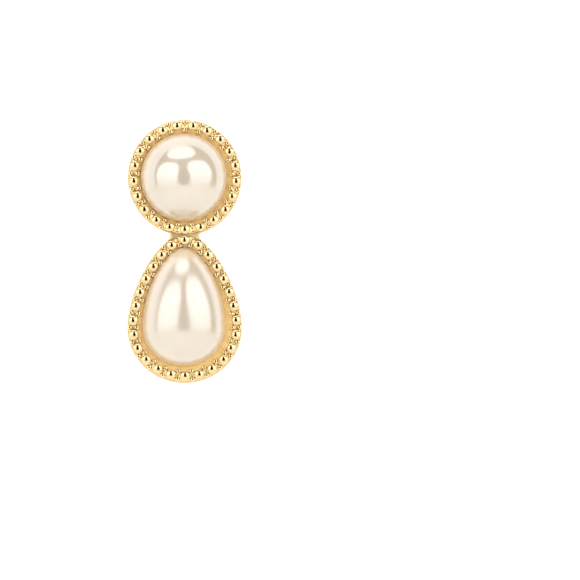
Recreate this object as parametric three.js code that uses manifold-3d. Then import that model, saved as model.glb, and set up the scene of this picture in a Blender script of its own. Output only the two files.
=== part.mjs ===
import * as THREE from "three";
import { mergeVertices } from "three/addons/utils/BufferGeometryUtils.js";
import Module from "manifold-3d";

// Pearl drop earring: a round pearl above a teardrop pearl in one cast and beaded setting, on an ear post.
// Millimetres, +Z up, with the front facing -Y. The origin is on the post's axis, in the setting's back face,
// level with the middle of the round pearl. Depths are measured forward from that back face.

// Round pearl
const roundPearlWidth = 8.88;
const roundPearlHeight = 9.04;
const roundPearlThickness = 4.5;

// Teardrop pearl, from its widest line down to its foot and up to its tip
const dropPearlWidth = 8.52;
const dropPearlFoot = 3.91;
const dropPearlTip = 8.23;
const dropPearlThickness = 4.2;
const dropPearlFlank = 0.54;
const dropPearlBrow = 0.4;

// Both pearls have a low upright edge below the dome, and are glued in a little off the middle
const pearlEdge = 0.4;
const pearlClearance = 0.05;
const pearlShift = 0.1;
const glueFilm = 0.05;

// Rims, from a pearl's edge out to the line of large beads
const roundRim = 0.79;
const dropRimTip = 0.75;
const dropRimFoot = 1.02;
const dropLineFlank = 0.4;
const dropLineBrow = 0.43;

// Cross-section of the rim: the lip lies outside the bead line, and the rail carries the beads
const lip = 0.58;
const footLip = 0.72;
const lipHeight = 1.3;
const backRound = 0.25;
const railHeight = 1.8;
const railTop = 0.5;
const railSlope = 0.22;
const floorThickness = 0.8;

// Large beads, and the pairs of small ones between them
const beadDiameter = 0.97;
const beadLift = 0.12;
const roundBeads = 21;
const dropBeads = 26;
const seedDiameter = 0.44;
const outerSeedOut = 0.4;
const innerSeedIn = 0.42;
const ballSides = 10;

// Joint of the two cups: the space between their nearest beads, and the flat web across it, which a round
// hollow on each side narrows to a waist below the round cup's lowest bead
const beadToBead = 1.06;
const waistBelow = 0.65;
const waistWidth = 3;
const waistRound = 0.6;
const waistSweep = THREE.MathUtils.degToRad(50);
const webHeight = 1.25;
const webReach = 1.2;
const padReach = 1.2;

// Ear post, seated in a blind socket in the round cup's back
const postDiameter = 0.8;
const postLength = 10.5;
const postTipTaper = 0.25;
const postSeat = 0.45;
const postClearance = 0.05;
const postSides = 16;

// Fineness of the curves
const stationsPerBead = 2;
const pearlStations = 64;
const domeRings = 6;
const waistSteps = 8;

const goldLook = { color: 0xe8c98a, metalness: 1, roughness: 0.18 };
const pearlLook = { color: 0xf5e8dc, metalness: 0, roughness: 0.16 };
const steelLook = { color: 0xd8cfb8, metalness: 1, roughness: 0.25 };

const wasm = await Module();
wasm.setup();

// A point by its place across, its place up and its depth forward of the back face
function point(across, up, depth) {
  return new THREE.Vector3(across, -depth, up);
}

// The outline of an oval, from its lowest point round to it again
function ovalPath(width, height) {
  return new THREE.Path().absellipse(0, 0, width / 2, height / 2, -Math.PI / 2, 1.5 * Math.PI);
}

// The outline of a drop about its widest line, from the tip round to it again
function dropPath(width, foot, tip, flank, brow) {
  const half = width / 2;
  const path = new THREE.Path();
  path.moveTo(0, tip);
  path.bezierCurveTo(-brow * half, tip, -half, flank * tip, -half, 0);
  path.absellipse(0, 0, half, foot, Math.PI, 2 * Math.PI);
  path.bezierCurveTo(half, flank * tip, brow * half, tip, 0, tip);
  return path;
}

// Evenly spaced stations along a path, each a place and the direction that points out of the outline
function stationsAlong(path, count, start = 0) {
  return Array.from({ length: count }, (_, i) => {
    const share = ((i + start) / count) % 1;
    const place = path.getPoint(share);
    const ahead = path.getTangent(share);
    return { place, out: new THREE.Vector2(ahead.y, -ahead.x) };
  });
}

// The same stations moved out by a distance, which may differ from one to the next
function offset(stations, distance) {
  return stations.map((station) => {
    const by = typeof distance === "function" ? distance(station) : distance;
    return { place: station.place.clone().addScaledVector(station.out, by), out: station.out };
  });
}

function raised(stations, up) {
  const by = new THREE.Vector2(0, up);
  return stations.map(({ place, out }) => ({ place: place.clone().add(by), out }));
}

function scaled(stations, factor) {
  return stations.map(({ place, out }) => ({ place: place.clone().multiplyScalar(factor), out }));
}

function loop(stations, depth) {
  return stations.map(({ place }) => point(place.x, place.y, depth));
}

function middle(points) {
  return points.reduce((sum, p) => sum.add(p), new THREE.Vector3()).divideScalar(points.length);
}

// A closed body through loops of points, with a fan of triangles over the first loop, about its middle, and
// over the last one, about its middle or a given top
function loft(loops, top = middle(loops.at(-1))) {
  const count = loops[0].length;
  const last = (loops.length - 1) * count;
  const points = [...loops.flat(), middle(loops[0]), top];
  const firstMiddle = points.length - 2;
  const lastMiddle = points.length - 1;
  const faces = [];
  for (let i = 0; i < count; i += 1) {
    const next = (i + 1) % count;
    faces.push(firstMiddle, next, i);
    faces.push(lastMiddle, last + i, last + next);
    for (let row = 0; row < last; row += count) {
      faces.push(row + i, row + next, row + count + next);
      faces.push(row + i, row + count + next, row + count + i);
    }
  }
  const geometry = new THREE.BufferGeometry().setFromPoints(points);
  geometry.setIndex(faces);
  return geometry;
}

function toSolid(geometry) {
  const bare = geometry.clone();
  bare.deleteAttribute("normal");
  bare.deleteAttribute("uv");
  const merged = mergeVertices(bare, 1e-5);
  return new wasm.Manifold(new wasm.Mesh({
    numProp: 3,
    vertProperties: merged.attributes.position.array,
    triVerts: new Uint32Array(merged.index.array),
  }));
}

function toMesh(name, geometry, look) {
  const mesh = new THREE.Mesh(geometry, new THREE.MeshStandardMaterial(look));
  mesh.name = name;
  return mesh;
}

function fromSolid(solid) {
  const { vertProperties, triVerts } = solid.getMesh();
  const geometry = new THREE.BufferGeometry();
  geometry.setAttribute("position", new THREE.BufferAttribute(vertProperties, 3));
  geometry.setIndex(new THREE.BufferAttribute(triVerts, 1));
  geometry.computeVertexNormals();
  return geometry;
}

// The places of the two cups: the drop's widest line hangs below the round pearl's middle
const roundLineHeight = roundPearlHeight + 2 * roundRim;
const dropLineTip = dropPearlTip + dropRimTip;
const dropLevel = -(roundLineHeight / 2 + beadToBead + dropLineTip);
const waistLevel = -(roundLineHeight / 2 + waistBelow);

// A pearl: an upright edge, then a dome whose loops shrink about the outline's middle
function pearl(path, thickness) {
  const outline = stationsAlong(path, pearlStations);
  const back = floorThickness + glueFilm;
  const loops = [loop(outline, back)];
  for (let ring = 0; ring < domeRings; ring += 1) {
    const angle = (ring / domeRings) * (Math.PI / 2);
    const depth = back + pearlEdge + (thickness - pearlEdge) * Math.sin(angle);
    loops.push(loop(scaled(outline, Math.cos(angle)), depth));
  }
  return loft(loops, point(0, 0, back + thickness)).translate(-pearlShift, 0, 0);
}

// The height of the rim's top at a distance outside the bead line, on the rail or on a slope beside it
function railSurface(out) {
  const beyond = Math.max(0, Math.abs(out) - railTop / 2);
  return railHeight - Math.min(beyond, railSlope);
}

// A cup: flat back, upright outer wall, a rail for the beads, and a sloping wall down to the pearl's floor
function cup(line, seat, lipAt) {
  const edge = railTop / 2 + railSlope;
  return loft([
    loop(offset(line, (station) => lipAt(station) - backRound), 0),
    loop(offset(line, lipAt), backRound),
    loop(offset(line, lipAt), lipHeight),
    loop(offset(line, edge), railSurface(edge)),
    loop(offset(line, railTop / 2), railHeight),
    loop(offset(line, -railTop / 2), railHeight),
    loop(offset(line, -edge), railSurface(edge)),
    loop(offset(seat, pearlClearance + pearlShift), floorThickness),
  ]);
}

// A ball about the origin, with its pole to the front and a plain cone for the half that the rail hides
function ball(diameter) {
  const radius = diameter / 2;
  const profile = [-90, 0, 45, 90].map((angle) => {
    const turned = THREE.MathUtils.degToRad(angle);
    return new THREE.Vector2(radius * Math.abs(Math.cos(turned)), radius * Math.sin(turned));
  });
  return new THREE.LatheGeometry(profile, ballSides).rotateX(Math.PI);
}

function ballAt(shape, station, depth) {
  const { x, y, z } = point(station.place.x, station.place.y, depth);
  return toSolid(shape.clone().translate(x, y, z));
}

// The large beads of a line at its level, and between every two a small one on each slope of the rail
function beadsOn(path, count, level) {
  const bead = ball(beadDiameter);
  const seed = ball(seedDiameter);
  const large = raised(stationsAlong(path, count), level);
  const between = raised(stationsAlong(path, count, 0.5), level);
  const outer = offset(between, outerSeedOut).filter(clearOfWeb);
  return [
    ...large.map((station) => ballAt(bead, station, railHeight + beadLift)),
    ...outer.map((station) => ballAt(seed, station, railSurface(outerSeedOut))),
    ...offset(between, -innerSeedIn).map((station) => ballAt(seed, station, railSurface(innerSeedIn))),
  ];
}

// Whether a small bead stays: the web's flat front takes the place of those beside the waist
function clearOfWeb({ place }) {
  return Math.hypot(place.x, place.y - waistLevel) > padReach;
}

// The flat web between the cups: it reaches up and down into them, with an arc hollowed from each side
function web() {
  const edge = waistWidth / 2 + waistRound;
  const upright = Math.PI / 2;
  const shape = new THREE.Shape();
  shape.moveTo(0, waistLevel + webReach);
  shape.absarc(-edge, waistLevel, waistRound, upright, -waistSweep, true);
  shape.lineTo(0, waistLevel - webReach);
  shape.absarc(edge, waistLevel, waistRound, Math.PI + waistSweep, upright, true);
  const options = { depth: webHeight, bevelEnabled: false, curveSegments: waistSteps };
  return new THREE.ExtrudeGeometry(shape, options).rotateX(Math.PI / 2);
}

function setting() {
  const roundLine = ovalPath(roundPearlWidth + 2 * roundRim, roundLineHeight);
  const dropLine = dropPath(
    dropPearlWidth + 2 * dropRimFoot,
    dropPearlFoot + dropRimFoot,
    dropLineTip,
    dropLineFlank,
    dropLineBrow,
  );
  const roundCup = cup(
    stationsAlong(roundLine, roundBeads * stationsPerBead),
    stationsAlong(roundPearlPath, roundBeads * stationsPerBead),
    () => lip,
  );
  const dropCup = cup(
    stationsAlong(dropLine, dropBeads * stationsPerBead),
    stationsAlong(dropPearlPath, dropBeads * stationsPerBead),
    ({ out }) => lip + (footLip - lip) * Math.max(0, -out.y) ** 2,
  );
  const socket = new THREE.CylinderGeometry(
    postDiameter / 2 + postClearance,
    postDiameter / 2 + postClearance,
    2 * (postSeat + postClearance),
    postSides,
  );
  return [
    toSolid(dropCup.translate(0, 0, dropLevel)),
    toSolid(web()),
    ...beadsOn(roundLine, roundBeads, 0),
    ...beadsOn(dropLine, dropBeads, dropLevel),
  ].reduce((whole, piece) => whole.add(piece), toSolid(roundCup)).subtract(toSolid(socket));
}

// The post: a plain pin with a tapered tip, along +Y
function post() {
  const radius = postDiameter / 2;
  const profile = [
    new THREE.Vector2(0, -postSeat),
    new THREE.Vector2(radius, -postSeat),
    new THREE.Vector2(radius, postLength - postTipTaper),
    new THREE.Vector2(radius - postTipTaper, postLength),
    new THREE.Vector2(0, postLength),
  ];
  return new THREE.LatheGeometry(profile, postSides);
}

const roundPearlPath = ovalPath(roundPearlWidth, roundPearlHeight);
const dropPearlPath = dropPath(dropPearlWidth, dropPearlFoot, dropPearlTip, dropPearlFlank, dropPearlBrow);

const earring = new THREE.Group();
earring.add(
  toMesh("setting", fromSolid(setting()), goldLook),
  toMesh("round_pearl", pearl(roundPearlPath, roundPearlThickness), pearlLook),
  toMesh("drop_pearl", pearl(dropPearlPath, dropPearlThickness).translate(0, 0, dropLevel), pearlLook),
  toMesh("ear_post", post(), steelLook),
);

export default earring;
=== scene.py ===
import math
import random

import bpy
import numpy as np
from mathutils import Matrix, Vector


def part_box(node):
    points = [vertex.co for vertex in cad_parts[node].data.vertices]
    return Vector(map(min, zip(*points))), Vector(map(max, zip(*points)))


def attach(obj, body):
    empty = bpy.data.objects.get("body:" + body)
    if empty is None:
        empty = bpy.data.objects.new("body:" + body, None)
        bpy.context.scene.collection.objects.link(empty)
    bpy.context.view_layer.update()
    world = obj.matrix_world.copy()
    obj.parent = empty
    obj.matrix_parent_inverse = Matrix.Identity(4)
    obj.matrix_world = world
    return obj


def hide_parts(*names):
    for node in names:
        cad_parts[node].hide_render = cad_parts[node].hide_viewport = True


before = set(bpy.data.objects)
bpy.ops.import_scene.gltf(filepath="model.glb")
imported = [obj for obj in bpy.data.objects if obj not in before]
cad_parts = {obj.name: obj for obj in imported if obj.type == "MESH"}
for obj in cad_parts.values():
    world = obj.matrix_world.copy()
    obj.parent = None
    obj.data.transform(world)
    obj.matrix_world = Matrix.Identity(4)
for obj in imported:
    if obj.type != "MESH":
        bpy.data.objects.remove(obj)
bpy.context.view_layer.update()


# The setting: pale gold-plated zinc alloy, cast in one. A round cup and a teardrop cup with flat backs are
# joined by a waisted web. Each cup is modelled lying on its back, its depth along Z: the outline of its
# outer wall is filled and raised, then taken in over the rail and down to the pearl's seat.

MM = 0.001
round_pearl_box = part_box("round_pearl")
drop_pearl_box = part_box("drop_pearl")

round_rim = 0.79 * MM
drop_rim_tip = 0.75 * MM
drop_rim_foot = 1.02 * MM
drop_pearl_foot = 3.91 * MM
drop_pearl_tip = 8.23 * MM
lip = 0.58 * MM
foot_lip = 0.72 * MM
lip_height = 1.3 * MM
back_round = 0.25 * MM
rail_height = 1.8 * MM
seat_height = 0.8 * MM
seat_gap = -0.04 * MM  # less than nothing: the ledge runs a little way into the pearl
inner_round = 0.38 * MM
ledge_height = 1.6 * MM
ledge_drop = 0.22 * MM
bead_to_bead = 1.06 * MM
round_beads = 21
drop_beads = 26
dip = 0.2 * MM
dip_reach = 0.5 * MM
dip_steps = 720
shoulder_steps = 6
back_steps = 4
flat_border = 0.1 * MM  # a border this wide keeps the shading of a large flat face flat
few_corners = 20  # only the large flat faces have more corners than this
hair = 0.001 * MM  # what is nearer than this is one place

round_pearl_half = (round_pearl_box[1][0] - round_pearl_box[0][0]) / 2
round_pearl_rise = (round_pearl_box[1][2] - round_pearl_box[0][2]) / 2
drop_pearl_half = (drop_pearl_box[1][0] - drop_pearl_box[0][0]) / 2
pearl_shift = (round_pearl_box[0][0] + round_pearl_box[1][0]) / 2
round_line_rise = round_pearl_rise + round_rim
drop_line_half = drop_pearl_half + drop_rim_foot
drop_line_foot = drop_pearl_foot + drop_rim_foot
drop_line_tip = drop_pearl_tip + drop_rim_tip
drop_line_flank = 0.4
drop_line_brow = 0.43
drop_level = -(round_line_rise + bead_to_bead + drop_line_tip)
quarter = 0.5523  # a handle's share of the radius that draws a quarter of a circle


def select_only(*pieces):
    """Leaves these pieces selected, the first of them as the active one."""
    bpy.ops.object.select_all(action="DESELECT")
    for piece in pieces:
        piece.select_set(True)
    bpy.context.view_layer.objects.active = pieces[0]


def draw_outline(name, corners, fineness=110):
    """A closed flat curve through corners, each a place between the handles before and after it."""
    bpy.ops.object.select_all(action="DESELECT")
    bpy.ops.curve.primitive_bezier_circle_add()
    curve = bpy.context.object
    curve.name = name
    curve.data.dimensions = "2D"
    curve.data.fill_mode = "NONE"
    curve.data.resolution_u = fineness
    spline = curve.data.splines[0]
    spline.bezier_points.add(len(corners) - len(spline.bezier_points))
    for knot, (before, place, after) in zip(spline.bezier_points, corners):
        knot.handle_left_type = knot.handle_right_type = "FREE"
        knot.handle_left = (*before, 0)
        knot.co = (*place, 0)
        knot.handle_right = (*after, 0)
    return curve


def draw_oval(name, half, rise):
    """An oval, from its foot round to the right."""
    return draw_outline(name, [
        ((-quarter * half, -rise), (0, -rise), (quarter * half, -rise)),
        ((half, -quarter * rise), (half, 0), (half, quarter * rise)),
        ((quarter * half, rise), (0, rise), (-quarter * half, rise)),
        ((-half, quarter * rise), (-half, 0), (-half, -quarter * rise)),
    ])


def draw_drop(name, half, foot, tip, flank, brow):
    """A teardrop about its widest line, from its tip round to the left. Flank and brow set how full its
    sides and its tip are."""
    return draw_outline(name, [
        ((brow * half, tip), (0, tip), (-brow * half, tip)),
        ((-half, flank * tip), (-half, 0), (-half, -quarter * foot)),
        ((-quarter * half, -foot), (0, -foot), (quarter * half, -foot)),
        ((half, -quarter * foot), (half, 0), (half, flank * tip)),
    ])


def fill_outline(curve):
    """The outline as one flat face that looks up."""
    select_only(curve)
    bpy.ops.object.convert(target="MESH")
    bpy.ops.object.mode_set(mode="EDIT")
    bpy.ops.mesh.select_all(action="SELECT")
    bpy.ops.mesh.remove_doubles(threshold=hair)
    bpy.ops.mesh.edge_face_add()
    bpy.ops.object.mode_set(mode="OBJECT")
    piece = bpy.context.object
    if piece.data.polygons[0].normal.z < 0:
        piece.data.flip_normals()
    return piece


def top_face(piece):
    """The highest of the piece's large flat faces."""
    return max(piece.data.polygons, key=lambda face: (len(face.vertices) > few_corners, face.center.z))


def back_face(piece):
    """The lowest of the piece's large flat faces."""
    return min(piece.data.polygons, key=lambda face: (len(face.vertices) < few_corners, face.center.z))


def outward(places):
    """The outward direction at each place of a closed outline that runs anticlockwise."""
    ahead = np.roll(places, -1, axis=0) - np.roll(places, 1, axis=0)
    ahead /= np.linalg.norm(ahead, axis=1)[:, None]
    return np.stack((ahead[:, 1], -ahead[:, 0]), axis=1)


def step_out(piece, distance):
    """Moves the rim of a piece's top face outwards by distance(direction)."""
    rim = [piece.data.vertices[i] for i in top_face(piece).vertices]
    places = np.array([corner.co[:2] for corner in rim])
    for corner, place, out in zip(rim, places, outward(places)):
        corner.co[:2] = place + out * distance(out)


def select_face(face):
    """Leaves one face selected, in edit mode."""
    mesh, number = face.id_data, face.index
    bpy.ops.object.mode_set(mode="EDIT")
    bpy.ops.mesh.select_mode(type="FACE")
    bpy.ops.mesh.select_all(action="DESELECT")
    bpy.ops.object.mode_set(mode="OBJECT")
    mesh.polygons[number].select = True
    bpy.ops.object.mode_set(mode="EDIT")


def quarter_turn(steps):
    """The angles at which each step of a quarter turn begins and ends."""
    angles = [math.pi / 2 * i / steps for i in range(steps + 1)]
    return zip(angles, angles[1:])


def round_in(width, height, steps):
    """Takes the selected face inwards and up, round a quarter of an oval that starts upright."""
    for begin, end in quarter_turn(steps):
        inwards = width * (math.cos(begin) - math.cos(end))
        bpy.ops.mesh.inset(thickness=inwards, depth=height * (math.sin(end) - math.sin(begin)))


def face_outwards(piece):
    """Turns every face of a closed piece outwards."""
    bpy.ops.object.mode_set(mode="EDIT")
    bpy.ops.mesh.select_mode(type="VERT")
    bpy.ops.mesh.select_all(action="SELECT")
    bpy.ops.mesh.normals_make_consistent(inside=False)
    bpy.ops.object.mode_set(mode="OBJECT")


def raise_cup(name, line, rim, extra_lip, seat_scale, seat_middle):
    """Makes a cup of its bead line: wall, shoulder, rail, ledge and seat, and then the round at its back."""
    cup = line.copy()
    cup.data = line.data.copy()
    cup.name = name
    bpy.context.collection.objects.link(cup)
    select_only(cup)
    step_out(cup, lambda out: lip + extra_lip(out))
    select_face(top_face(cup))
    bpy.ops.transform.translate(value=(0, 0, back_round))
    bpy.ops.mesh.extrude_region_move(TRANSFORM_OT_translate={"value": (0, 0, lip_height - back_round)})
    for begin, end in quarter_turn(shoulder_steps):
        inwards = lip * (math.cos(begin) - math.cos(end))
        upwards = (rail_height - lip_height) * (math.sin(end) - math.sin(begin))
        bpy.ops.mesh.inset(thickness=inwards, depth=upwards)
        bpy.ops.object.mode_set(mode="OBJECT")
        step_out(cup, lambda out: -extra_lip(out) / shoulder_steps)
        bpy.ops.object.mode_set(mode="EDIT")
    for begin, end in quarter_turn(shoulder_steps):
        inwards = inner_round * (math.sin(end) - math.sin(begin))
        upwards = (rail_height - ledge_height) * (math.cos(end) - math.cos(begin))
        bpy.ops.mesh.inset(thickness=inwards, depth=upwards)
    bpy.ops.mesh.inset(thickness=rim - seat_gap - inner_round, depth=-ledge_drop)
    bpy.ops.transform.resize(value=(*seat_scale, 1), center_override=(0, seat_middle, 0))
    bpy.ops.transform.translate(value=(pearl_shift, 0, 0))
    bpy.ops.mesh.inset(thickness=hair, depth=seat_height - ledge_height + ledge_drop)
    bpy.ops.mesh.inset(thickness=flat_border, depth=0)
    bpy.ops.object.mode_set(mode="OBJECT")
    select_face(back_face(cup))
    round_in(back_round, back_round, back_steps)
    bpy.ops.mesh.inset(thickness=flat_border, depth=0)
    bpy.ops.object.mode_set(mode="OBJECT")
    face_outwards(cup)
    return cup


def stations(line, count, start, half_step=False):
    """Evenly spaced places and outward directions on a bead line, the first of them at its start."""
    rim = [line.data.vertices[i].co for i in line.data.polygons[0].vertices]
    places = np.array([corner[:2] for corner in rim])
    first = int(np.argmin(np.linalg.norm(places - np.array(start), axis=1)))
    places = np.roll(places, -first, axis=0)
    closed = np.vstack((places, places[:1]))
    walked = np.concatenate(([0], np.cumsum(np.linalg.norm(np.diff(closed, axis=0), axis=1))))
    stops = (np.arange(count) + 0.5 * half_step) / count * walked[-1]
    directions = np.vstack((outward(places), outward(places)[:1]))
    at = np.stack([np.interp(stops, walked, closed[:, i]) for i in (0, 1)], axis=1)
    out = np.stack([np.interp(stops, walked, directions[:, i]) for i in (0, 1)], axis=1)
    return at, out / np.linalg.norm(out, axis=1)[:, None]


def dip_rail(cup, line, count, start):
    """Lowers the crest of a cup's rail in the gaps between its beads."""
    places, _ = stations(line, dip_steps, start)
    for corner in cup.data.vertices:
        if corner.co.z > lip_height + hair:
            distances = np.linalg.norm(places - np.array(corner.co[:2]), axis=1)
            nearest = int(np.argmin(distances))
            share = math.cos(math.pi / 2 * min(1.0, distances[nearest] / dip_reach)) ** 2
            between_beads = 1 - abs(math.cos(math.pi * count * nearest / dip_steps))
            corner.co.z -= dip * share * between_beads


def no_extra_lip(out):
    """A round cup's lip is the same all round."""
    return 0.0


def extra_foot_lip(out):
    """A drop's lip is widest at its foot."""
    return (foot_lip - lip) * max(0.0, -out[1]) ** 2


round_line = fill_outline(draw_oval("round_line", round_pearl_half + round_rim, round_line_rise))
drop_line = fill_outline(draw_drop(
    "drop_line", drop_line_half, drop_line_foot, drop_line_tip, drop_line_flank, drop_line_brow
))
round_cup = raise_cup("round_cup", round_line, round_rim, no_extra_lip, (1, 1), 0.0)
drop_seat_tip = drop_line_tip - drop_rim_tip + seat_gap
seat_narrower = (drop_pearl_half + seat_gap) / (drop_line_half - drop_rim_tip + seat_gap)
seat_shorter = (drop_seat_tip + drop_pearl_foot + seat_gap) / (
    drop_seat_tip + drop_line_foot - drop_rim_tip + seat_gap
)
drop_cup = raise_cup(
    "drop_cup", drop_line, drop_rim_tip, extra_foot_lip, (seat_narrower, seat_shorter), drop_seat_tip
)
dip_rail(round_cup, round_line, round_beads, (0, -round_line_rise))
dip_rail(drop_cup, drop_line, drop_beads, (0, drop_line_tip))


# The web between the cups is cast with them: a flat tongue that runs to a point inside each cup, and that a
# round hollow on each side narrows to a waist. Its front stands above the lips; its side edges are rounded.

web_back = 0.02 * MM
web_height = 1.6 * MM
web_reach = 1.2 * MM
waist_half = 1.5 * MM
waist_round = 0.6 * MM
web_edge = 0.14 * MM
waist_drop = 0.65 * MM
waist_level = -(round_line_rise + waist_drop)

hollow_turn = math.radians(50)
hollow_end = waist_half + waist_round - waist_round * math.cos(hollow_turn)
hollow_reach = waist_round * math.sin(hollow_turn)
handle = 4 / 3 * math.tan(hollow_turn / 4) * waist_round  # as long as an arc of that turn needs
handle_in, handle_down = handle * math.sin(hollow_turn), handle * math.cos(hollow_turn)
web_top = (0, waist_level + web_reach)
web_foot = (0, waist_level - web_reach)
upper, lower = waist_level + hollow_reach, waist_level - hollow_reach
web = fill_outline(draw_outline("web", [
    (web_top, web_top, web_top),
    ((-hollow_end, upper), (-hollow_end, upper), (-hollow_end + handle_in, upper - handle_down)),
    ((-waist_half, waist_level + handle), (-waist_half, waist_level), (-waist_half, waist_level - handle)),
    ((-hollow_end + handle_in, lower + handle_down), (-hollow_end, lower), (-hollow_end, lower)),
    (web_foot, web_foot, web_foot),
    ((hollow_end, lower), (hollow_end, lower), (hollow_end - handle_in, lower + handle_down)),
    ((waist_half, waist_level - handle), (waist_half, waist_level), (waist_half, waist_level + handle)),
    ((hollow_end - handle_in, upper - handle_down), (hollow_end, upper), (hollow_end, upper)),
], fineness=12))
select_face(top_face(web))
bpy.ops.transform.translate(value=(0, 0, web_back))
bpy.ops.mesh.extrude_region_move(TRANSFORM_OT_translate={"value": (0, 0, web_height - web_back)})
bpy.ops.mesh.select_mode(type="EDGE")
bpy.ops.mesh.select_all(action="DESELECT")
bpy.ops.object.mode_set(mode="OBJECT")
for edge in web.data.edges:
    ends = [web.data.vertices[i].co for i in edge.vertices]
    edge.select = all(
        end.z > web_height - hair and abs(end.y - waist_level) < hollow_reach + hair for end in ends
    )
bpy.ops.object.mode_set(mode="EDIT")
bpy.ops.mesh.bevel(offset=web_edge, segments=3)
bpy.ops.object.mode_set(mode="OBJECT")
face_outwards(web)


def stand_up(piece, level=0.0):
    """Turns a piece from lying on its back to facing the front, at its level, with its place in its mesh."""
    select_only(piece)
    piece.rotation_euler = (math.pi / 2, 0, 0)
    piece.location = (0, 0, level)
    bpy.ops.object.transform_apply(location=True, rotation=True, scale=True)


stand_up(round_cup)
stand_up(drop_cup, drop_level)
stand_up(web)
casting = round_cup
select_only(casting)
for part in (web, drop_cup):
    union = casting.modifiers.new("one_casting", "BOOLEAN")
    union.object = part
    union.operation = "UNION"
    union.solver = "MANIFOLD"
    bpy.ops.object.modifier_apply(modifier=union.name)
    bpy.data.objects.remove(part)


# The beads are flattened balls cast with the rails, a row of large ones and a small one on each side of
# every gap, each a hair off in size, place and lean. Here only a thin stem joins a large one to its rail.
# The balls are burnished, the rails are softer, the web's front is satin and the ledges are matt. The
# ledges' deeper, more orange colour is painted shade of the groove between rail and pearl.

bead_diameter = 1.0 * MM
bead_lift = 0.32 * MM
bead_squash = 0.42
seed_diameter = 0.52 * MM
seed_lift = 0.1 * MM
outer_seed_out = 0.34 * MM
inner_seed_in = 0.42 * MM
rail_slope = 0.4
web_clear = 1.2 * MM  # an outer small bead nearer than this to the waist would stand on the web
ball_cut = 0.22  # the cut's depth below a ball's middle, as a share of its diameter
stem_length = 0.3  # another share of the diameter
flat_front = 0.99  # the least that the web's front looks forwards
ledge_front = 0.3  # and the least that a ledge does
ledge_slack = 0.02 * MM
casting_crease = math.radians(35)
ball_off_size = 0.02
ball_off_place = 0.012 * MM
ball_lean = math.radians(4.5)
casting_luck = random.Random(11)


def node(material, kind, **values):
    """Adds a node to a material, with its inputs by name."""
    made = material.node_tree.nodes.new(kind)
    for name, value in values.items():
        made.inputs[name.replace("_", " ").title()].default_value = value
    return made


def grain(material, scale, low, high):
    """A number that wanders between low and high over the piece, and the noise that it comes from."""
    links = material.node_tree.links
    spot = material.node_tree.nodes.new("ShaderNodeTexCoord")
    noise = node(material, "ShaderNodeTexNoise", scale=scale, detail=3.0)
    spread = node(material, "ShaderNodeMapRange", from_min=0.3, from_max=0.7, to_min=low, to_max=high)
    links.new(spot.outputs["Object"], noise.inputs["Vector"])
    links.new(noise.outputs["Fac"], spread.inputs["Value"])
    return spread.outputs["Result"], noise.outputs["Fac"]


def finish_of(name, pale, deep, patch, rough, rough_patch, relief, relief_patch, **shader):
    """A finish whose colour, gloss and surface wander a little, each with so many patches to the metre."""
    material = bpy.data.materials.new(name)
    material.use_nodes = True
    links = material.node_tree.links
    surface = material.node_tree.nodes["Principled BSDF"]
    for socket, value in shader.items():
        surface.inputs[socket.replace("_", " ").title().replace("Ior", "IOR")].default_value = value
    share, _ = grain(material, patch, 0.0, 1.0)
    colours = material.node_tree.nodes.new("ShaderNodeMixRGB")
    colours.inputs["Color1"].default_value = (*pale, 1)
    colours.inputs["Color2"].default_value = (*deep, 1)
    links.new(share, colours.inputs["Fac"])
    links.new(colours.outputs["Color"], surface.inputs["Base Color"])
    gloss, _ = grain(material, rough_patch, *rough)
    links.new(gloss, surface.inputs["Roughness"])
    _, height = grain(material, relief_patch, 0.0, 1.0)
    bump = node(material, "ShaderNodeBump", strength=0.5, distance=relief)
    links.new(height, bump.inputs["Height"])
    links.new(bump.outputs["Normal"], surface.inputs["Normal"])
    return material


polished_gold = finish_of(
    "polished_pale_gold", pale=(0.77, 0.60, 0.34), deep=(0.72, 0.54, 0.285), patch=1400,
    rough=(0.06, 0.12), rough_patch=2500, relief=0.004 * MM, relief_patch=3500, metallic=1.0,
)
rail_gold = finish_of(
    "rail_pale_gold", pale=(0.685, 0.51, 0.235), deep=(0.64, 0.455, 0.19), patch=1400,
    rough=(0.19, 0.26), rough_patch=2500, relief=0.005 * MM, relief_patch=4000, metallic=1.0,
)
satin_gold = finish_of(
    "satin_pale_gold", pale=(0.74, 0.56, 0.32), deep=(0.64, 0.47, 0.25), patch=900,
    rough=(0.34, 0.46), rough_patch=2500, relief=0.006 * MM, relief_patch=5000, metallic=1.0,
)
# Painted shade: a deeper, more orange gold for the ledges stands in for the shade in the groove between rail
# and pearl. Its roughness is the real matt finish.
ledge_gold_painted_shade = finish_of(
    "matt_ledge_gold_painted_shade", pale=(0.91, 0.655, 0.28), deep=(0.84, 0.57, 0.20), patch=1400,
    rough=(0.5, 0.6), rough_patch=2500, relief=0.004 * MM, relief_patch=4000, metallic=0.3,
)
casting.data.materials.clear()
for gold in (rail_gold, satin_gold, ledge_gold_painted_shade):
    casting.data.materials.append(gold)
for face in casting.data.polygons:
    height = -face.center.y
    forwards = -face.normal.y
    from_waist = face.center.z - waist_level
    cup_level = 0.0 if from_waist > 0 else drop_level
    faces_pearl = face.normal.x * face.center.x + face.normal.z * (face.center.z - cup_level) < 0
    on_web = abs(height - web_height) < hair and abs(from_waist) < web_reach
    on_ledge = ledge_height - ledge_drop < height < ledge_height + ledge_slack
    if on_web and forwards > flat_front:
        face.material_index = 1
    # The ledge faces that look towards the pearl get the gold with painted shade.
    elif on_ledge and faces_pearl and forwards > ledge_front:
        face.material_index = 2
    else:
        face.material_index = 0


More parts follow.
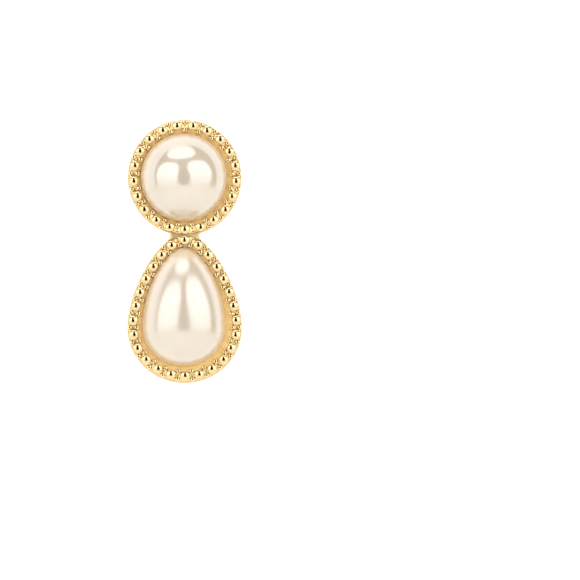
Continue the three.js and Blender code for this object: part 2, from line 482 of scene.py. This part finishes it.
def cast_ball(name, diameter, segments, rings):
    """A flattened ball on a thin stem. The cut was meant to leave a flat for a wide collar, but it lies just
    below the squashed ball: it takes nothing off, and it doubles the faces on the underside."""
    bpy.ops.object.select_all(action="DESELECT")
    bpy.ops.mesh.primitive_uv_sphere_add(segments=segments, ring_count=rings, radius=diameter / 2)
    ball = bpy.context.object
    ball.name = name
    bpy.ops.object.mode_set(mode="EDIT")
    bpy.ops.mesh.select_all(action="SELECT")
    bpy.ops.transform.resize(value=(1, 1, bead_squash))
    bpy.ops.mesh.bisect(
        plane_co=(0, 0, -ball_cut * diameter), plane_no=(0, 0, 1), use_fill=True, clear_inner=True
    )
    bpy.ops.object.mode_set(mode="OBJECT")
    lowest_face = min(ball.data.polygons, key=lambda face: face.center.z)
    select_face(lowest_face)
    bpy.ops.mesh.extrude_region_move(TRANSFORM_OT_translate={"value": (0, 0, -stem_length * diameter)})
    bpy.ops.object.mode_set(mode="OBJECT")
    face_outwards(ball)
    ball.data.materials.append(polished_gold)
    return ball


def seed_height(from_line):
    """The height of a small bead's middle at a distance from the bead line."""
    return rail_height + seed_lift - rail_slope * from_line


def set_ball(model, place, height):
    """A copy of a ball with its own mesh, a hair off in size, place and lean as castings are."""
    ball = model.copy()
    ball.data = model.data.copy()
    bpy.context.collection.objects.link(ball)
    size = 1 + casting_luck.uniform(-ball_off_size, ball_off_size)
    astray = [casting_luck.uniform(-ball_off_place, ball_off_place) for _ in range(2)]
    ball.scale = (size, size, size)
    ball.location = (place[0] + astray[0], -height, place[1] + astray[1])
    spin = casting_luck.uniform(0, 2 * math.pi)
    leans = [casting_luck.uniform(-ball_lean, ball_lean) for _ in range(2)]
    ball.rotation_euler = (math.pi / 2 + leans[0], spin, leans[1])
    return ball


bead = cast_ball("bead", bead_diameter, segments=24, rings=18)
seed = cast_ball("seed", seed_diameter, segments=16, rings=12)
balls = []
for line, count, start, level in (
    (round_line, round_beads, (0, -round_line_rise), 0.0),
    (drop_line, drop_beads, (0, drop_line_tip), drop_level),
):
    for place, _ in zip(*stations(line, count, start)):
        balls.append(set_ball(bead, (place[0], place[1] + level), rail_height + bead_lift))
    for place, out in zip(*stations(line, count, start, half_step=True)):
        for from_line in (outer_seed_out, -inner_seed_in):
            spot = place + from_line * out + np.array((0, level))
            if from_line < 0 or math.hypot(spot[0], spot[1] - waist_level) > web_clear:
                balls.append(set_ball(seed, spot, seed_height(abs(from_line))))
select_only(casting, *balls)
bpy.ops.object.join()
setting = bpy.context.object
setting.name = "gold_setting"
bpy.ops.object.transform_apply(location=True, rotation=True, scale=True)
for model in (bead, seed, round_line, drop_line):
    bpy.data.objects.remove(model)
select_only(setting)
bpy.ops.object.shade_smooth_by_angle(angle=casting_crease)
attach(setting, "root")
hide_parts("setting")


# The pearls are half pearls of moulded plastic with a cream nacre coat, flat behind and domed in front. They
# are glued into their cups, a little to the left of the middle. Their colour turns warmer towards the edge,
# a painted reflection of light bounced off the gold. The coat is glossier on the round pearl than on the
# drop.

pearl_edge = 0.5 * MM
drop_apex = 0.5 * MM
drop_flank = 0.54
drop_brow = 0.4
pearl_back = 0.85 * MM
dome_steps = 28
last_ring = 0.001  # the dome's last ring is this share of its first, and is merged to a point
pearl_crease = math.radians(50)
# Painted reflection: between these depths the base colour turns to this warm tone, for light bounced off the
# gold.
painted_bounce_from = 3.8 * MM
painted_bounce_full = 1.6 * MM
painted_bounce_colour = (0.72, 0.56, 0.385)
softer_gloss = 0.22


def mould_pearl(name, outline, box, level, apex, finish):
    """Raises a pearl from its outline: an upright edge, and a dome that closes over the apex."""
    pearl = fill_outline(outline)
    pearl.name = name
    middle = ((box[0][0] + box[1][0]) / 2, apex, 0.0)
    dome_rise = (-pearl_back - box[0][1]) - pearl_edge
    select_face(top_face(pearl))
    bpy.ops.transform.translate(value=(middle[0], 0, pearl_back))
    bpy.ops.mesh.extrude_region_move(TRANSFORM_OT_translate={"value": (0, 0, pearl_edge)})
    for begin, end in quarter_turn(dome_steps):
        upwards = dome_rise * (math.sin(end) - math.sin(begin))
        narrower = max(last_ring, math.cos(end)) / math.cos(begin)
        bpy.ops.mesh.extrude_region_move(TRANSFORM_OT_translate={"value": (0, 0, upwards)})
        bpy.ops.transform.resize(value=(narrower, narrower, 1), center_override=middle)
    bpy.ops.mesh.merge(type="CENTER")
    bpy.ops.object.mode_set(mode="OBJECT")
    select_face(back_face(pearl))
    bpy.ops.mesh.inset(thickness=flat_border, depth=0)
    bpy.ops.object.mode_set(mode="OBJECT")
    face_outwards(pearl)
    stand_up(pearl, level)
    bpy.ops.object.shade_smooth_by_angle(angle=pearl_crease)
    pearl.data.materials.clear()
    pearl.data.materials.append(finish)
    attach(pearl, "root")
    return pearl


nacre = finish_of(
    "cream_nacre", pale=(0.495, 0.417, 0.325), deep=(0.465, 0.387, 0.295), patch=260,
    rough=(0.30, 0.40), rough_patch=900, relief=0.003 * MM, relief_patch=1400,
    coat_weight=1.0, coat_roughness=0.14, coat_ior=2.7,
)
nacre_links = nacre.node_tree.links
nacre_surface = nacre.node_tree.nodes["Principled BSDF"]
nacre_colour = nacre_surface.inputs["Base Color"].links[0].from_socket
# Painted reflection: the colour warms towards the pearl's edge by its depth. This stands in for light
# bounced off the gold.
place_on_pearl = node(nacre, "ShaderNodeTexCoord")
place_parts = node(nacre, "ShaderNodeSeparateXYZ")
painted_bounce_share = node(
    nacre, "ShaderNodeMapRange", from_min=-painted_bounce_from, from_max=-painted_bounce_full, to_min=0.0, to_max=1.0
)
painted_bounce_mix = nacre.node_tree.nodes.new("ShaderNodeMixRGB")
painted_bounce_mix.inputs["Color2"].default_value = (*painted_bounce_colour, 1)
nacre_links.new(place_on_pearl.outputs["Object"], place_parts.inputs["Vector"])
nacre_links.new(place_parts.outputs["Y"], painted_bounce_share.inputs["Value"])
nacre_links.new(painted_bounce_share.outputs["Result"], painted_bounce_mix.inputs["Fac"])
nacre_links.new(nacre_colour, painted_bounce_mix.inputs["Color1"])
nacre_links.new(painted_bounce_mix.outputs["Color"], nacre_surface.inputs["Base Color"])
softer_nacre = nacre.copy()
softer_nacre.name = "softer_cream_nacre"
softer_nacre.node_tree.nodes["Principled BSDF"].inputs["Coat Roughness"].default_value = softer_gloss

round_outline = draw_oval("round_outline", round_pearl_half, round_pearl_rise)
round_pearl = mould_pearl("nacre_round_pearl", round_outline, round_pearl_box, 0.0, 0.0, nacre)
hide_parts("round_pearl")
drop_outline = draw_drop(
    "drop_outline", drop_pearl_half, drop_pearl_foot, drop_pearl_tip, drop_flank, drop_brow
)
drop_pearl = mould_pearl(
    "nacre_drop_pearl", drop_outline, drop_pearl_box, drop_level, drop_apex, softer_nacre
)
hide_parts("drop_pearl")


# The ear post is a drawn steel wire with a thin gold wash, soldered into a blind hole in the back of the
# round cup. Its free end is turned to a short blunt taper.

post_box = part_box("ear_post")
post_half = (post_box[1][0] - post_box[0][0]) / 2
tip_taper = 0.25 * MM
tip_narrowing = 0.6
post_straight = post_box[1][1] - post_box[0][1] - tip_taper
post_crease = math.radians(40)

bpy.ops.object.select_all(action="DESELECT")
bpy.ops.mesh.primitive_cylinder_add(
    vertices=32, radius=post_half, depth=post_straight,
    location=(0, 0, -post_box[1][1] + tip_taper + post_straight / 2),
)
post = bpy.context.object
post.name = "steel_post"
bpy.ops.object.transform_apply(location=True)
select_face(min(post.data.polygons, key=lambda face: face.center.z))
round_in(tip_narrowing * post_half, tip_taper, steps=6)
bpy.ops.object.mode_set(mode="OBJECT")
face_outwards(post)
stand_up(post)
bpy.ops.object.shade_smooth_by_angle(angle=post_crease)
post.data.materials.clear()
post.data.materials.append(finish_of(
    "gold_washed_steel", pale=(0.80, 0.66, 0.42), deep=(0.74, 0.58, 0.33), patch=500,
    rough=(0.2, 0.32), rough_patch=1800, relief=0.003 * MM, relief_patch=2600, metallic=1.0,
))
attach(post, "root")
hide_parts("ear_post")


# The studio: a white floor well below the earring, two tall soft panels that leave a tapered gap for the
# lens, and an oval panel overhead. A dark half-dome in front of the earring and a black card at the lens
# show only in the polish. The half-dome is not lit. Instead it glows dimly, five times brighter at the
# floor, as painted light from the floor.

floor_level = -0.2
floor_radius = 0.68
dome_radius = 0.7
dome_cut = (0, -0.06, 0)
dome_cut_facing = (-0.087, 0.996, 0)
cloth_glow_colour = (0.19, 0.13, 0.065)
cloth_lit_below = 5.0
cloth_dark_from = -0.04
card_colour = (0.01, 0.008, 0.006)
card_place = (-0.006, -0.36, 0.0)
card_radius = 0.097
card_taller = 1.25
panel_away = 0.4
panel_roundness = 0.88
panel_dimmed = 0.57
panel_brightness = 2.4
overhead_place = (-0.06, -0.22, 0.4)
overhead_half = (0.255, 0.192)
room_brightness = 1.36
white_light = (1, 1, 1)


def shining(name, colour, strength, fade=None, along="Y", share=panel_dimmed):
    """A material that only shines, with a share of its strength at fade's first place and all of it at the
    second, along one axis."""
    material = bpy.data.materials.new(name)
    material.use_nodes = True
    material.node_tree.nodes.clear()
    links = material.node_tree.links
    shine = node(material, "ShaderNodeEmission", color=(*colour, 1), strength=strength)
    out = node(material, "ShaderNodeOutputMaterial")
    links.new(shine.outputs["Emission"], out.inputs["Surface"])
    if fade:
        spot = node(material, "ShaderNodeTexCoord")
        split = node(material, "ShaderNodeSeparateXYZ")
        rise = node(
            material, "ShaderNodeMapRange",
            from_min=fade[0], from_max=fade[1], to_min=share * strength, to_max=strength,
        )
        links.new(spot.outputs["Object"], split.inputs["Vector"])
        links.new(split.outputs[along], rise.inputs["Value"])
        links.new(rise.outputs["Result"], shine.inputs["Strength"])
    return material


def panel(name, facing, corners, fade):
    """A flat soft panel with rounded corners, each given as degrees to the right and up from the pearl."""
    flat = []
    for right, up in corners:
        turn = math.radians(right - facing)
        rise = panel_away * math.tan(math.radians(up)) / math.cos(turn)
        flat.append(np.array((panel_away * math.tan(turn), rise)))
    knots = []
    for here, following in zip(flat, flat[1:] + flat[:1]):
        halfway = (here + following) / 2
        knots.append([
            tuple(halfway + panel_roundness * (to - halfway)) for to in (here, halfway, following)
        ])
    sheet = fill_outline(draw_outline(name, knots, fineness=16))
    turned = math.radians(facing)
    sheet.rotation_euler = (math.pi / 2, 0, turned)
    sheet.location = (panel_away * math.sin(turned), -panel_away * math.cos(turned), 0)
    sheet.data.materials.clear()
    sheet.data.materials.append(shining(name + "_glow", white_light, panel_brightness, fade))
    sheet.visible_camera = False


def only_in_polish(card):
    """Hides a card from the camera and from all soft light, so that only glossy surfaces show it."""
    card.visible_camera = False
    card.visible_diffuse = False
    card.visible_transmission = False
    card.visible_shadow = False


bpy.ops.object.select_all(action="DESELECT")
bpy.ops.mesh.primitive_circle_add(
    vertices=64, radius=floor_radius, fill_type="NGON", location=(0, 0, floor_level)
)
floor = bpy.context.object
floor.name = "floor"
white = bpy.data.materials.new("matt_white")
white.use_nodes = True
white.node_tree.nodes["Principled BSDF"].inputs["Base Color"].default_value = (0.9, 0.88, 0.85, 1)
white.node_tree.nodes["Principled BSDF"].inputs["Roughness"].default_value = 0.9
floor.data.materials.append(white)

bpy.ops.object.select_all(action="DESELECT")
bpy.ops.mesh.primitive_uv_sphere_add(segments=96, ring_count=48, radius=dome_radius)
screen = bpy.context.object
screen.name = "dark_half_dome"
bpy.ops.object.mode_set(mode="EDIT")
bpy.ops.mesh.select_all(action="SELECT")
bpy.ops.mesh.bisect(plane_co=dome_cut, plane_no=dome_cut_facing, clear_outer=True)
bpy.ops.mesh.select_all(action="SELECT")
bpy.ops.mesh.bisect(plane_co=(0, 0, floor_level), plane_no=(0, 0, 1), clear_inner=True)
bpy.ops.object.mode_set(mode="OBJECT")
# Painted light: the dark cloth glows instead of being lit, brighter towards the floor as if the floor lit
# it.
screen.data.materials.append(
    shining(
        "dark_cloth_painted_glow", cloth_glow_colour, 1.0, (floor_level, cloth_dark_from), along="Z", share=cloth_lit_below
    )
)
only_in_polish(screen)

bpy.ops.object.select_all(action="DESELECT")
bpy.ops.mesh.primitive_circle_add(
    vertices=48, radius=card_radius, fill_type="NGON", location=card_place, rotation=(math.pi / 2, 0, 0)
)
lens_card = bpy.context.object
lens_card.name = "lens_card"
lens_card.scale = (1, card_taller, 1)
lens_card.data.materials.append(shining("black_card", card_colour, 1.0))
only_in_polish(lens_card)

left_corners = [(-13, 31), (-58, 31), (-72, 14), (-72, -20), (-16, -20)]
right_corners = [(6, 34), (13.5, -20), (67, -17), (74, 10), (61, 35)]
panel("left_panel", facing=-45, corners=left_corners, fade=(-0.146, 0.12))
panel("right_panel", facing=45, corners=right_corners, fade=(-0.13, 0.12))

bpy.ops.object.select_all(action="DESELECT")
bpy.ops.mesh.primitive_circle_add(vertices=64, radius=1, fill_type="NGON", location=overhead_place)
overhead = bpy.context.object
overhead.name = "overhead_panel"
overhead.scale = (*overhead_half, 1)
overhead.data.materials.append(shining("overhead_glow", white_light, panel_brightness, (1.1, -0.1)))
overhead.visible_camera = False

world = bpy.data.worlds.new("white_room")
world.use_nodes = True
world.node_tree.nodes["Background"].inputs["Color"].default_value = (*white_light, 1)
world.node_tree.nodes["Background"].inputs["Strength"].default_value = room_brightness
bpy.context.scene.world = world
bpy.context.scene.view_settings.view_transform = "Standard"


# The camera looks straight on through a long lens, from a little to the earring's left. The earring stands
# to the left of the middle of the frame, as in the photograph.

lens_turn = math.radians(3.9)
lens_away = 0.3294
aim = (10.74 * MM, -1.9 * MM, -11.49 * MM)
lens = bpy.data.cameras.new("camera")
lens.lens = 200
lens.sensor_width = 36
lens.clip_start = 0.01
lens.clip_end = 10
camera = bpy.data.objects.new("camera", lens)
camera.location = (
    aim[0] - lens_away * math.sin(lens_turn), aim[1] - lens_away * math.cos(lens_turn), aim[2]
)
camera.rotation_euler = (math.pi / 2, 0, -lens_turn)
bpy.context.collection.objects.link(camera)
bpy.context.scene.camera = camera
